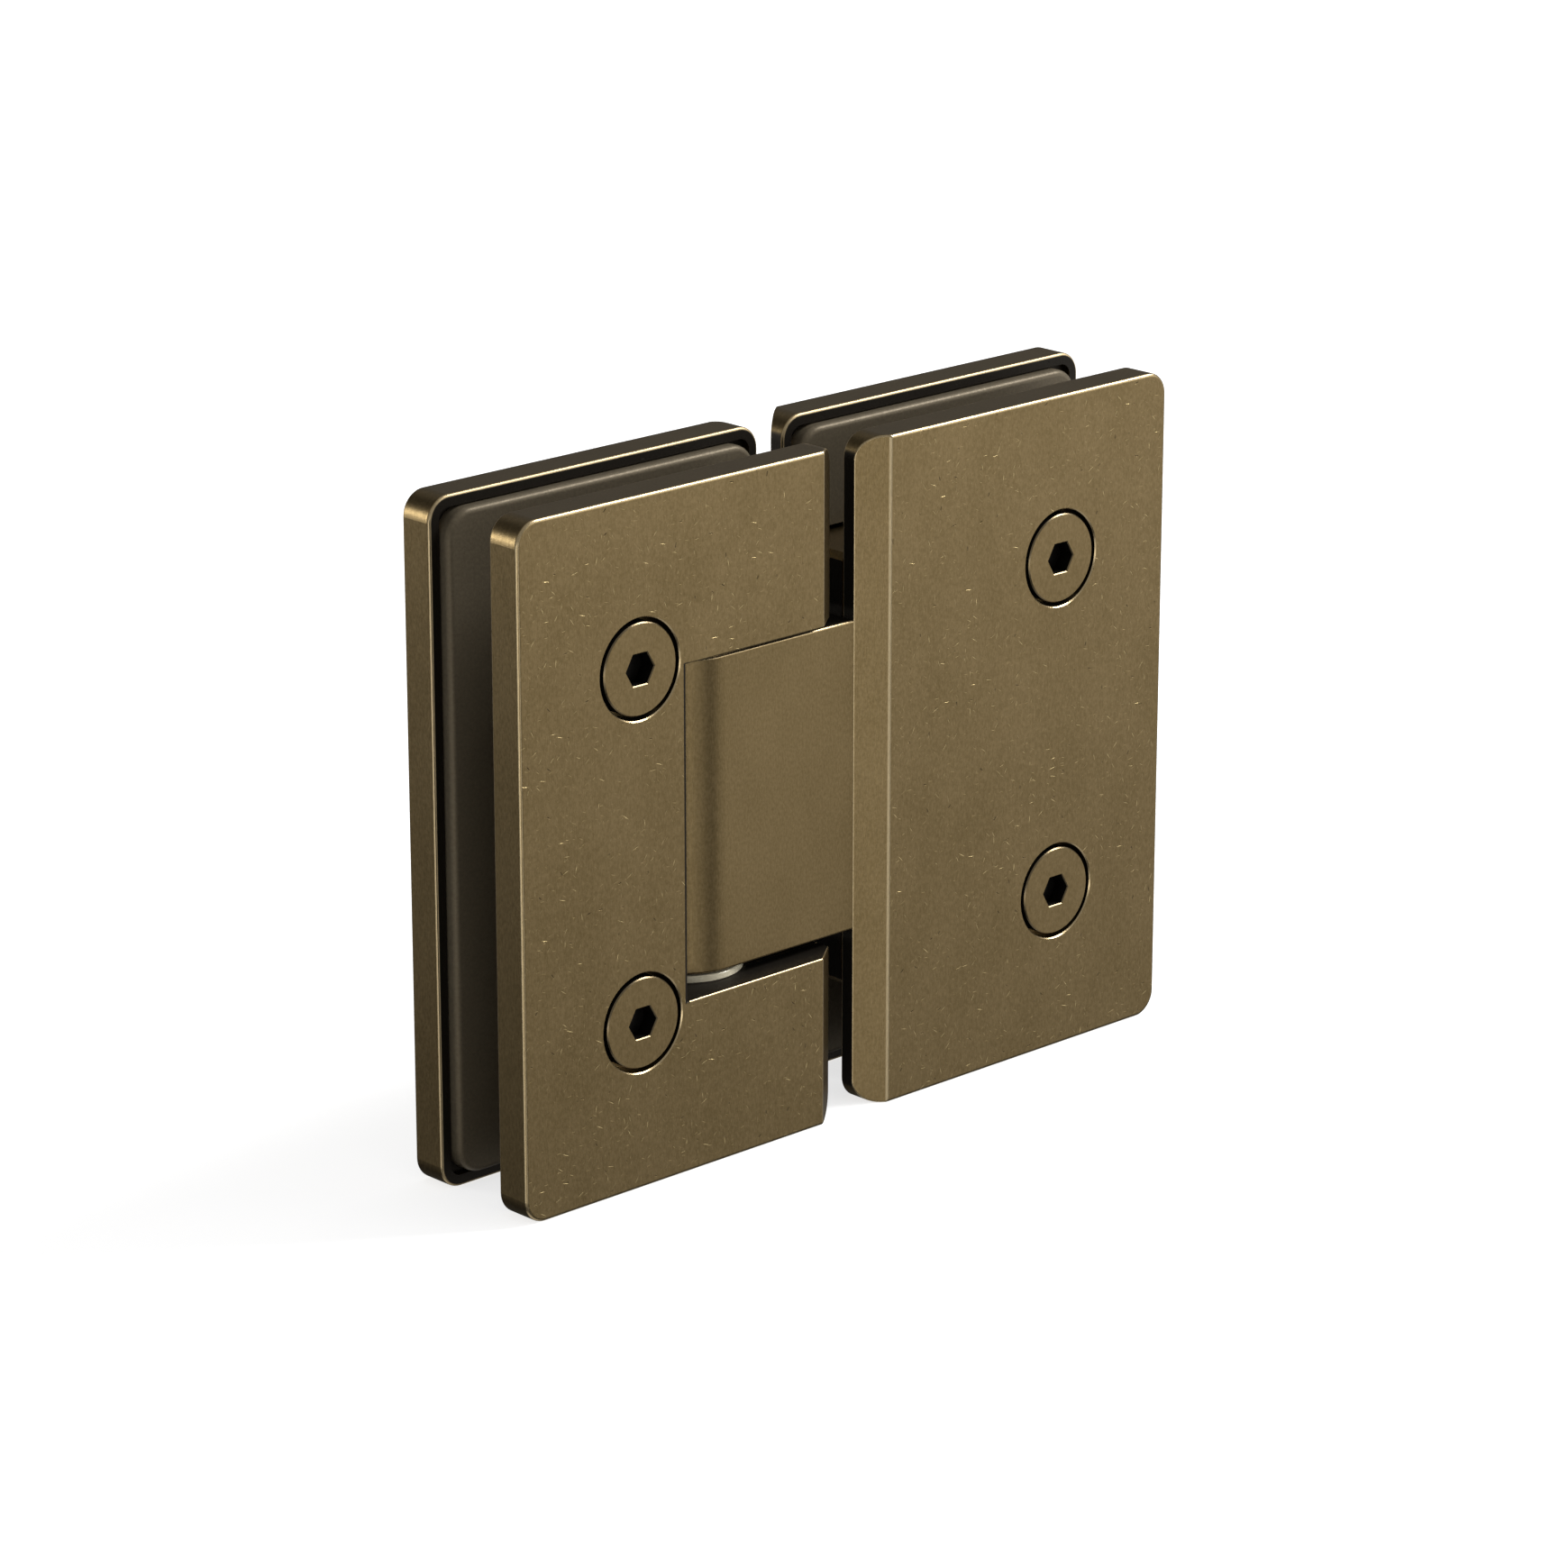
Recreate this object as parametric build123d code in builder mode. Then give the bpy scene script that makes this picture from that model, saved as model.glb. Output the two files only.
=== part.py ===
"""Glass to glass shower door hinge that opens flat to 180 degrees and swings 90 degrees either way.

Millimetres. X runs from the fixed glass to the door glass, Y from the front to the rear, Z up.
The origin is at the bottom of the plates, midway between the leaves and in the middle of the glass.
"""
import os

from build123d import *

# Leaves and plates
leaf_height = 90.0
leaf_width = 54.6
leaf_gap = 4.3
plate_thickness = 5.15
plate_corner_radius = 3.2
plate_edge_radius = 0.45
bevel_width = 3.8
ridge_radius = 0.25

# Glass and the rubber pads that grip it
glass_thickness = 8.0
pad_proud = 1.5
pocket_depth = 1.0
pocket_margin = 1.55
pocket_corner_radius = 1.6
pad_side_gap = 0.2
pad_corner_radius = 3.8
pad_edge_radius = 0.8
pad_block_gap = 0.5
pad_window_radius = 0.5
pad_hole_gap = 0.4

# Clamp screws
screw_inset = 19.65
screw_radius = 3.0
screw_hole_gap = 0.3
thread_gap = 0.02
head_radius = 5.95
head_height = 3.2
head_gap = 0.6
head_seat_gap = 0.02
head_rim_chamfer = 0.15
hole_rim_chamfer = 0.15
socket_across_flats = 4.0
socket_depth = 2.3
socket_rim_chamfer = 0.12
screw_end_gap = 0.9

# Blocks that fill the glass cut-outs, beside the clamp screws
block_screw_wall = 0.95
block_past_screws = 6.1
lug_height = 7.0
block_edge_chamfer = 0.85
block_corner_radius = 2.5

# Notch of the fixed leaf and the knuckle that turns in it
notch_height = 44.2
notch_screw_wall = 1.0
notch_edge_radius = 0.2
knuckle_gap = 1.25
knuckle_radius = 7.7
knuckle_edge_radius = 0.3
barrel_wall_gap = 1.6

# Hinge pin, its bushes and washers
pin_radius = 3.5
pin_flat_depth = 0.4
pin_flat_height = 8.0
pin_end_chamfer = 0.4
pin_end_recess = 0.5
pin_hold_gap = 0.01
bush_wall = 1.0
bush_length = 9.0
bush_run_gap = 0.04
bush_hold_gap = 0.01
washer_radius = 7.45
washer_thickness = 0.95
washer_chamfer = 0.12

# Detent plungers that hold the door shut and at its open stops
plunger_spacing = 16.0
plunger_radius = 2.9
plunger_slide_gap = 0.05
plunger_length = 12.0
plunger_pin_gap = 0.05
plunger_tip_chamfer = 0.5
spring_wire_radius = 0.4
spring_radius = 2.1
spring_length = 18.0
spring_turns = 7
spring_end_gap = 0.1
spring_screw_length = 6.0
spring_screw_socket = 3.0
spring_screw_socket_depth = 2.5

# Grub screws that lock the pin
grub_radius = 1.5
grub_length = 6.0
grub_socket = 1.5
grub_socket_depth = 1.6
grub_pin_gap = 0.02

# Countersunk screws that hold the blocks to the front plates
block_screw_radius = 2.0
block_screw_head_radius = 3.7
block_screw_head_height = 2.2
block_screw_grip = 3.2
block_screw_socket = 2.5
block_screw_socket_depth = 1.4
block_screw_gap = 0.02
knuckle_screw_margin = 7.0
knuckle_screw_drop = 9.1
lug_screw_radius = 1.5
lug_screw_head_radius = 2.7
lug_screw_head_height = 1.6
lug_screw_margin = 4.7
lug_screw_socket = 2.0
lug_screw_socket_depth = 1.0

# Worked out from the sizes above
half_slot = glass_thickness / 2 + pad_proud
outer_face = half_slot + plate_thickness
bevel_depth = outer_face - knuckle_radius
mid_height = leaf_height / 2
leaf_inner = leaf_gap / 2
leaf_middle = leaf_inner + leaf_width / 2
screw_x = leaf_inner + leaf_width - screw_inset
block_end = screw_x - screw_radius - block_screw_wall
block_depth = block_end - leaf_inner
block_height = notch_height + 2 * lug_height
screw_spacing = block_height - 2 * block_past_screws
notch_wall_x = -(screw_x - head_radius - head_gap - notch_screw_wall)
pin_x = notch_wall_x + barrel_wall_gap + knuckle_radius
notch_floor = mid_height - notch_height / 2
notch_top = mid_height + notch_height / 2
knuckle_height = notch_height - 2 * knuckle_gap
knuckle_floor = mid_height - knuckle_height / 2
knuckle_top = mid_height + knuckle_height / 2
block_floor = mid_height - block_height / 2
lug_middles = (block_floor + lug_height / 2, block_floor + block_height - lug_height / 2)
lug_screw_x = -(block_end - lug_screw_margin)
knuckle_screw_x = block_end - knuckle_screw_margin
knuckle_screw_spacing = block_height - 2 * knuckle_screw_drop
plunger_heights = (mid_height - plunger_spacing / 2, mid_height + plunger_spacing / 2)
pin_across_flats = 2 * (pin_radius - pin_flat_depth)
bush_radius = pin_radius + bush_run_gap + bush_wall
knuckle_bore = bush_radius + bush_hold_gap
plunger_bore = plunger_radius + plunger_slide_gap
plunger_start = pin_x + pin_radius + plunger_pin_gap
spring_start = plunger_start + plunger_length + spring_end_gap
spring_screw_start = spring_start + spring_length + spring_end_gap
grub_start = pin_x + pin_radius + grub_pin_gap
pad_margin = pocket_margin + pad_side_gap
pad_thickness = pocket_depth + pad_proud

# How far a cut runs past a face, and how near two places count as one
past = 1.0
same_place = 0.01

LEFT, RIGHT = -1, 1
FRONT, REAR = -1, 1

os.makedirs("parts", exist_ok=True)


def save(piece, label):
    """Names a finished piece and writes its file."""
    piece.label = label
    export_step(piece, f"parts/{label}.step")


def upright(face, distance):
    """A plane parallel to the glass, at this distance from its middle, that looks away from it."""
    return Plane((0, face * distance, 0), x_dir=(-face, 0, 0), z_dir=(0, face, 0))


def across(face, x):
    """The place along such a plane of a point at x."""
    return -face * x


def screw_places(face, side):
    """Where a leaf's two clamp screws cross such a plane."""
    low = mid_height - screw_spacing / 2
    return [(across(face, side * screw_x), low + step * screw_spacing) for step in (0, 1)]


def hexagon(across_flats):
    """A socket outline with flats at its top and bottom."""
    return RegularPolygon(across_flats / 2, 6, major_radius=False, rotation=0)


def on_ridge(edge, side, face):
    """Whether an edge is the ridge where a plate's face meets its bevel."""
    spot = edge.center()
    ridge_x = side * (leaf_inner + bevel_width)
    return abs(spot.X - ridge_x) < same_place and abs(spot.Y - face * outer_face) < same_place


def on_notch(edge):
    """Whether an edge of the outer face belongs to the notch."""
    spot = edge.center()
    beside = spot.X > notch_wall_x - same_place
    return beside and abs(spot.Z - mid_height) < notch_height / 2 + same_place


def leaf_plate(side, face, notched):
    """One cover plate, with its pad pocket, its bevelled hinge side and its screw holes."""
    with BuildPart() as plate:
        with BuildSketch(upright(face, half_slot)):
            with Locations((across(face, side * leaf_middle), mid_height)):
                RectangleRounded(leaf_width, leaf_height, plate_corner_radius)
        extrude(amount=plate_thickness)
        with BuildSketch(Plane.XY.offset(-past)):
            with BuildLine():
                Polyline(
                    (side * leaf_inner, face * (outer_face - bevel_depth)),
                    (side * (leaf_inner + bevel_width), face * outer_face),
                    (side * (leaf_inner + bevel_width), face * (outer_face + past)),
                    (side * (leaf_inner - past), face * (outer_face + past)),
                    (side * (leaf_inner - past), face * (outer_face - bevel_depth)),
                    close=True,
                )
            make_face()
        extrude(amount=leaf_height + 2 * past, mode=Mode.SUBTRACT)
        outline = plate.faces().sort_by(Axis.Y)[0 if face == REAR else -1].edges()
        fillet(outline, plate_edge_radius)
        front_face = plate.faces().sort_by(Axis.Y)[0 if face == FRONT else -1]
        ridge = front_face.edges().sort_by(Axis.X)[-1 if side == LEFT else 0]
        rim = [edge for edge in front_face.edges() if edge != ridge]
        fillet(rim, plate_edge_radius)
        upright_edges = plate.edges().filter_by(Axis.Z)
        ridges = [edge for edge in upright_edges if on_ridge(edge, side, face)]
        fillet(ridges, ridge_radius)
        if notched:
            with BuildSketch(upright(face, half_slot - past)):
                with Locations((across(face, (notch_wall_x + past) / 2), mid_height)):
                    Rectangle(past - notch_wall_x, notch_height)
            extrude(amount=plate_thickness + 2 * past, mode=Mode.SUBTRACT)
            front_face = plate.faces().sort_by(Axis.Y)[0 if face == FRONT else -1]
            fillet([edge for edge in front_face.edges() if on_notch(edge)], notch_edge_radius)
        with BuildSketch(upright(face, half_slot)):
            with Locations((across(face, side * leaf_middle), mid_height)):
                pocket_width = leaf_width - 2 * pocket_margin
                RectangleRounded(pocket_width, leaf_height - 2 * pocket_margin, pocket_corner_radius)
            with Locations((across(face, side * (block_end + pad_block_gap - past) / 2), mid_height)):
                seat_height = block_height + 2 * pad_block_gap
                Rectangle(block_end + pad_block_gap + past, seat_height, mode=Mode.SUBTRACT)
        extrude(amount=pocket_depth, mode=Mode.SUBTRACT)
        if face == FRONT:
            with BuildSketch(upright(face, outer_face)):
                with Locations(screw_places(face, side)):
                    Circle(head_radius + head_gap)
            extrude(amount=-head_height, mode=Mode.SUBTRACT)
            with BuildSketch(upright(face, outer_face)):
                with Locations(screw_places(face, side)):
                    Circle(screw_radius + screw_hole_gap)
            extrude(amount=-plate_thickness, mode=Mode.SUBTRACT)
            rims = plate.edges().filter_by(GeomType.CIRCLE).group_by(Axis.Y)[0]
            rims = rims.filter_by(lambda edge: abs(edge.radius - head_radius - head_gap) < same_place)
            chamfer(rims, hole_rim_chamfer)
        else:
            with BuildSketch(upright(face, half_slot)):
                with Locations(screw_places(face, side)):
                    Circle(screw_radius + thread_gap)
            extrude(amount=plate_thickness - screw_end_gap, mode=Mode.SUBTRACT)
        with BuildSketch(upright(face, half_slot)):
            with Locations(block_screw_places(face, side)):
                Circle(block_screw_sizes(side)[0] + block_screw_gap)
        if face == FRONT:
            extrude(amount=block_screw_grip, mode=Mode.SUBTRACT)
    return plate.part


def block_screw_sizes(side):
    """Radius, head radius, head height, socket size and socket depth of a block's screws."""
    if side == LEFT:
        return (lug_screw_radius, lug_screw_head_radius, lug_screw_head_height, lug_screw_socket,
                lug_screw_socket_depth)
    return (block_screw_radius, block_screw_head_radius, block_screw_head_height, block_screw_socket,
            block_screw_socket_depth)


def block_screw_places(face, side):
    """Where the screws of a leaf's block cross such a plane."""
    if side == LEFT:
        place = across(face, lug_screw_x)
        return [(place, height) for height in lug_middles]
    place = across(face, knuckle_screw_x)
    return [(place, mid_height - knuckle_screw_spacing / 2), (place, mid_height + knuckle_screw_spacing / 2)]


def leaf_pad(side, face):
    """One rubber pad, cut out round the block and the clamp screws."""
    with BuildPart() as pad:
        with BuildSketch(upright(face, half_slot - pad_proud)):
            with Locations((across(face, side * leaf_middle), mid_height)):
                pad_width = leaf_width - 2 * pad_margin
                RectangleRounded(pad_width, leaf_height - 2 * pad_margin, pad_corner_radius)
        extrude(amount=pad_thickness)
        rim = pad.faces().sort_by(Axis.Y)[0 if face == REAR else -1].edges()
        fillet(rim, pad_edge_radius)
        reach = block_end + pad_block_gap + pad_side_gap
        with BuildSketch(upright(face, half_slot - pad_proud - past)):
            with Locations((across(face, side * (reach - past) / 2), mid_height)):
                window_height = block_height + 2 * (pad_block_gap + pad_side_gap)
                RectangleRounded(reach + past, window_height, pad_window_radius)
            with Locations(screw_places(face, side)):
                Circle(screw_radius + pad_hole_gap)
        extrude(amount=pad_thickness + 2 * past, mode=Mode.SUBTRACT)
    return pad.part


def clamp_screws(side):
    """A leaf's two socket head screws, which pull its plates onto the glass."""
    with BuildPart() as screws:
        with BuildSketch(upright(FRONT, outer_face)):
            with Locations(screw_places(FRONT, side)):
                Circle(head_radius)
        extrude(amount=-(head_height - head_seat_gap))
        rims = screws.edges().group_by(Axis.Y)[0]
        chamfer(rims, head_rim_chamfer)
        with BuildSketch(upright(FRONT, outer_face - head_height)):
            with Locations(screw_places(FRONT, side)):
                Circle(screw_radius)
        extrude(amount=head_height / 2)
        with BuildSketch(upright(FRONT, outer_face - head_height)):
            with Locations(screw_places(FRONT, side)):
                Circle(screw_radius)
        extrude(amount=-(2 * outer_face - head_height - 2 * screw_end_gap))
        with BuildSketch(upright(FRONT, outer_face)):
            with Locations(screw_places(FRONT, side)):
                hexagon(socket_across_flats)
        extrude(amount=-socket_depth, mode=Mode.SUBTRACT)
        mouths = screws.faces().filter_by(Axis.Y).group_by(Axis.Y)[0].edges().filter_by(GeomType.LINE)
        chamfer(mouths, socket_rim_chamfer)
    return screws.part


def block_screws(side):
    """The two countersunk screws that hold a leaf's block to its front plate."""
    radius, head, cone_height, socket, depth = block_screw_sizes(side)
    top = half_slot - block_screw_gap
    with BuildPart() as screws:
        with BuildSketch(upright(REAR, top)):
            with Locations(block_screw_places(REAR, side)):
                Circle(radius)
        extrude(amount=-(2 * half_slot + block_screw_grip - 2 * block_screw_gap))
        for x, z in block_screw_places(FRONT, side):
            with Locations(Location((x, top - cone_height / 2, z), (-90, 0, 0))):
                Cone(radius, head, cone_height)
        with BuildSketch(upright(REAR, top)):
            with Locations(block_screw_places(REAR, side)):
                hexagon(socket)
        extrude(amount=-depth, mode=Mode.SUBTRACT)
    return screws.part


def block_screw_holes(side):
    """The two countersunk holes of a leaf's block, as a solid to cut away."""
    radius, head, cone_height, socket, depth = block_screw_sizes(side)
    with BuildPart() as holes:
        with BuildSketch(upright(REAR, half_slot + past)):
            with Locations(block_screw_places(REAR, side)):
                Circle(radius + block_screw_gap)
        extrude(amount=-2 * (half_slot + past))
        for x, z in block_screw_places(FRONT, side):
            with Locations(Location((x, half_slot - cone_height / 2, z), (-90, 0, 0))):
                Cone(radius + block_screw_gap, head + block_screw_gap, cone_height)
    return holes.part


def coil_spring(label, height):
    """A compression spring that lies along X behind a plunger at this height."""
    pitch = (spring_length - 2 * spring_wire_radius) / spring_turns
    rise = pitch * spring_turns
    with BuildPart() as spring:
        with BuildLine():
            start = (spring_start + spring_wire_radius, 0, height)
            coil = Helix(pitch, rise, spring_radius, center=start, direction=(1, 0, 0))
        with BuildSketch(Plane(origin=coil @ 0, z_dir=coil % 0)):
            Circle(spring_wire_radius)
        sweep(is_frenet=True)
    save(spring.part, label)


for side, side_name in ((LEFT, "left"), (RIGHT, "right")):
    for face, face_name in ((FRONT, "front"), (REAR, "rear")):
        save(leaf_plate(side, face, side == LEFT), f"{side_name}_{face_name}_plate")
        save(leaf_pad(side, face), f"{side_name}_{face_name}_pad")
    save(clamp_screws(side), f"{side_name}_clamp_screws")
    save(block_screws(side), f"{side_name}_block_screws")

pin_block_holes = block_screw_holes(LEFT)
knuckle_holes = block_screw_holes(RIGHT)

# Pin block of the fixed leaf, whose two lugs hold the pin above and below the notch
with BuildPart() as pin_block:
    with BuildSketch(Plane.XZ.offset(-half_slot)):
        with Locations((-(leaf_inner + block_depth / 2), mid_height)):
            Rectangle(block_depth, block_height)
    extrude(amount=2 * half_slot)
    corners = pin_block.edges().filter_by(Axis.Y).group_by(Axis.X)[0]
    fillet(corners, block_corner_radius)
    ends = pin_block.edges().filter_by(Axis.Y).group_by(Axis.X)[-1]
    chamfer(ends, block_edge_chamfer)
    with BuildSketch(Plane.XZ.offset(-half_slot - past)):
        with Locations(((notch_wall_x + past) / 2, mid_height)):
            Rectangle(past - notch_wall_x, notch_height)
    extrude(amount=2 * (half_slot + past), mode=Mode.SUBTRACT)
    with BuildSketch(Plane.XY.offset(block_floor - past)):
        with Locations((pin_x, 0)):
            Circle(pin_radius + pin_hold_gap)
    extrude(amount=block_height + 2 * past, mode=Mode.SUBTRACT)
    with BuildSketch(Plane.YZ.offset(pin_x)):
        with Locations([(0, height) for height in lug_middles]):
            Circle(grub_radius + grub_pin_gap)
    extrude(amount=block_depth, mode=Mode.SUBTRACT)
    add(pin_block_holes, mode=Mode.SUBTRACT)
save(pin_block.part, "pin_block")

# Knuckle of the door leaf: a round barrel, an arm through the gap and a tongue between the plates
with BuildPart() as knuckle:
    with BuildSketch(Plane.XY.offset(knuckle_floor)):
        with Locations((pin_x, 0)):
            Circle(knuckle_radius)
        with Locations(((pin_x + leaf_inner) / 2, 0)):
            Rectangle(leaf_inner - pin_x, 2 * knuckle_radius)
    extrude(amount=knuckle_height)
    ends = knuckle.faces().filter_by(Axis.Z).edges()
    fillet([edge for edge in ends if edge.center().X < leaf_inner - past], knuckle_edge_radius)
    with BuildSketch(Plane.XZ.offset(-half_slot)):
        with Locations((leaf_inner + block_depth / 2, mid_height)):
            Rectangle(block_depth, block_height)
    extrude(amount=2 * half_slot)
    ends = knuckle.edges().filter_by(Axis.Y)
    corners = [edge for edge in ends if edge.center().X > leaf_inner + past]
    fillet(corners, block_corner_radius)
    edges = knuckle.edges().filter_by(Axis.Y).group_by(Axis.Z)
    chamfer([edges[0].sort_by(Axis.X)[0], edges[-1].sort_by(Axis.X)[0]], block_edge_chamfer)
    with BuildSketch(Plane.XY.offset(knuckle_floor - past)):
        with Locations((pin_x, 0)):
            Circle(pin_radius + bush_run_gap)
    extrude(amount=knuckle_height + 2 * past, mode=Mode.SUBTRACT)
    for start in (knuckle_floor, knuckle_top - bush_length):
        with BuildSketch(Plane.XY.offset(start)):
            with Locations((pin_x, 0)):
                Circle(knuckle_bore)
        extrude(amount=bush_length, mode=Mode.SUBTRACT)
    with BuildSketch(Plane.YZ.offset(pin_x)):
        with Locations([(0, height) for height in plunger_heights]):
            Circle(plunger_bore)
    extrude(amount=block_end - pin_x + past, mode=Mode.SUBTRACT)
    add(knuckle_holes, mode=Mode.SUBTRACT)
save(knuckle.part, "knuckle")

# Pin, with four shallow flats at each plunger
with BuildPart() as hinge_pin:
    with BuildSketch(Plane.XY.offset(block_floor + pin_end_recess)):
        with Locations((pin_x, 0)):
            Circle(pin_radius)
    extrude(amount=block_height - 2 * pin_end_recess)
    chamfer(hinge_pin.edges().filter_by(GeomType.CIRCLE), pin_end_chamfer)
    for height in plunger_heights:
        with BuildSketch(Plane.XY.offset(height - pin_flat_height / 2)):
            with Locations((pin_x, 0)):
                Circle(pin_radius + past)
                Rectangle(pin_across_flats, pin_across_flats, mode=Mode.SUBTRACT)
        extrude(amount=pin_flat_height, mode=Mode.SUBTRACT)
save(hinge_pin.part, "hinge_pin")

for name, start in (("lower", knuckle_floor), ("upper", knuckle_top - bush_length)):
    with BuildPart() as bush:
        with BuildSketch(Plane.XY.offset(start)):
            with Locations((pin_x, 0)):
                Circle(bush_radius)
                Circle(pin_radius + bush_run_gap, mode=Mode.SUBTRACT)
        extrude(amount=bush_length)
    save(bush.part, f"{name}_bush")

for name, start in (("lower", notch_floor), ("upper", notch_top - washer_thickness)):
    with BuildPart() as washer:
        with BuildSketch(Plane.XY.offset(start)):
            with Locations((pin_x, 0)):
                Circle(washer_radius)
                Circle(pin_radius + bush_run_gap, mode=Mode.SUBTRACT)
        extrude(amount=washer_thickness)
        chamfer(washer.edges().filter_by(GeomType.CIRCLE), washer_chamfer)
    save(washer.part, f"{name}_washer")

for name, height in zip(("lower", "upper"), plunger_heights):
    with BuildPart() as plunger:
        with BuildSketch(Plane.YZ.offset(plunger_start)):
            with Locations((0, height)):
                Circle(plunger_radius)
        extrude(amount=plunger_length)
        chamfer(plunger.edges().group_by(Axis.X)[0], plunger_tip_chamfer)
    save(plunger.part, f"{name}_plunger")
    coil_spring(f"{name}_spring", height)

with BuildPart() as spring_screws:
    heights = [(0, height) for height in plunger_heights]
    with BuildSketch(Plane.YZ.offset(spring_screw_start)):
        with Locations(heights):
            Circle(plunger_radius)
    extrude(amount=spring_screw_length)
    with BuildSketch(Plane.YZ.offset(spring_screw_start + spring_screw_length)):
        with Locations(heights):
            hexagon(spring_screw_socket)
    extrude(amount=-spring_screw_socket_depth, mode=Mode.SUBTRACT)
save(spring_screws.part, "spring_screws")

with BuildPart() as grub_screws:
    heights = [(0, height) for height in lug_middles]
    with BuildSketch(Plane.YZ.offset(grub_start)):
        with Locations(heights):
            Circle(grub_radius)
    extrude(amount=grub_length)
    with BuildSketch(Plane.YZ.offset(grub_start + grub_length)):
        with Locations(heights):
            hexagon(grub_socket)
    extrude(amount=-grub_socket_depth, mode=Mode.SUBTRACT)
save(grub_screws.part, "pin_grub_screws")
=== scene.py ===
"""Looks of the glass door hinge: aged brass plates, smooth knuckle, rubber pads and pale washers.

Lengths are metres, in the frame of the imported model. Surface detail is given in millimetres.
"""

import logging
import math
from dataclasses import dataclass
from enum import Enum

import bpy
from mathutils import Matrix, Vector


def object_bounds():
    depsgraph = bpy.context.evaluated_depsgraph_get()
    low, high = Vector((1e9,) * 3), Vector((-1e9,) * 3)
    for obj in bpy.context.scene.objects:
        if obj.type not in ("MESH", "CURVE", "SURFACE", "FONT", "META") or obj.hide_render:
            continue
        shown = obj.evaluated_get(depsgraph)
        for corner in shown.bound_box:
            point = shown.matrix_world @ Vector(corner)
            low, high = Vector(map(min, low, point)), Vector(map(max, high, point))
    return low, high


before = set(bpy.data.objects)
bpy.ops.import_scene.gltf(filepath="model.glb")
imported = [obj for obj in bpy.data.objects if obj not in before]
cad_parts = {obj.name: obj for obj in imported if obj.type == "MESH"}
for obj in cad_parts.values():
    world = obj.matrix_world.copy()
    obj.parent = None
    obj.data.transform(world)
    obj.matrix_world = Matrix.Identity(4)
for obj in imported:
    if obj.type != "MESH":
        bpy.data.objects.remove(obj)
CAD_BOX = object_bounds()
LOG = logging.getLogger("hinge")
Triple = tuple[float, float, float]
Colour = Triple

# Places on the hinge, in millimetres from the middle of the gap between the leaves
MM_PER_M = 1000.0
MIDDLE = (CAD_BOX[0][2] + CAD_BOX[1][2]) / 2
LEAF_INNER_MM = 2.15
BEVEL_WIDTH_MM = 3.8
BEVEL_DEPTH_MM = 2.95
BEVEL_NORMAL = tuple(Vector((BEVEL_DEPTH_MM, BEVEL_WIDTH_MM, 0.0)).normalized())
RIDGE_MM = LEAF_INNER_MM + BEVEL_WIDTH_MM
NOTCH_WALL_MM = 29.55
NOTCH_HALF_MM = 22.1
HAIR_MM = 0.05

# The colour sockets of Blender's Mix node, which share their names with other sockets
MIX_FACTOR = 0
MIX_FIRST = 6
MIX_SECOND = 7
MIX_RESULT = 2


class Side(Enum):
    """The leaf: the left one is fixed, the right one carries the door."""

    LEFT = "left"
    RIGHT = "right"


class Face(Enum):
    """The face of the glass that a plate lies on."""

    FRONT = "front"
    REAR = "rear"


@dataclass(frozen=True)
class Step:
    """A soft step: the value where a mask is empty and the value where it is full."""

    empty: float
    full: float


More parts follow.
